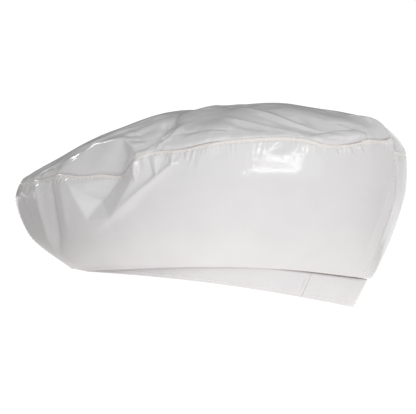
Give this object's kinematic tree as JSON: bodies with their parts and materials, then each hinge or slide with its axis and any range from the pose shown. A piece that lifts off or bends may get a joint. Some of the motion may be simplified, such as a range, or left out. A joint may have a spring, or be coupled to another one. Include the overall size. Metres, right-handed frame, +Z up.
{
  "type": "soft chef's cap",
  "caption": "Soft beret-shaped chef's cap of glossy coated cloth: domed crown, panelled wall folding over a narrow headband with an elastic nape.",
  "frame": {"origin": "on the rim's plane, below the middle of the cap's whole length and width", "axes": "+Z up through the crown, -X to the brow, +X to the nape, +Y to the wearer's right; the wall's longest overhang is at -X"},
  "size_m": [0.2863, 0.2264, 0.1432],
  "materials": {
    "coated_cloth": "glossy coated cloth, off-white",
    "sweatband_cotton": "matt twill",
    "binding_tape": "matt plain weave",
    "interlining": "matt felted",
    "elastic": "ribbed knit",
    "thread": "satin polyester thread",
    "label": "blank satin weave"
  },
  "bodies": {
    "cap": {"crown_tip": "coated_cloth", "wall_left": "coated_cloth", "wall_right": "coated_cloth", "wall_nape": "coated_cloth", "headband": "coated_cloth", "crown_seam_binding": "binding_tape", "front_seam_binding": "binding_tape", "nape_seam_left_binding": "binding_tape", "nape_seam_right_binding": "binding_tape", "crown_seam_stitching": "thread", "front_seam_stitching": "thread", "nape_seam_left_stitching": "thread", "nape_seam_right_stitching": "thread", "headband_stitching": "thread", "elastic_tack_left": "thread", "elastic_tack_right": "thread", "headband_interlining": "interlining", "sweatband": "sweatband_cotton"},
    "nape": {"nape_casing": "coated_cloth", "nape_elastic": "elastic", "nape_sweatband": "sweatband_cotton", "nape_stitching": "thread", "size_label": "label"}
  },
  "joints": [
    {"name": "nape_stretch", "type": "slide", "parent": "cap", "child": "nape", "axis": [1, 0, 0], "range_m": [0, 0.02], "stiffness_N_per_m": 300}
  ]
}
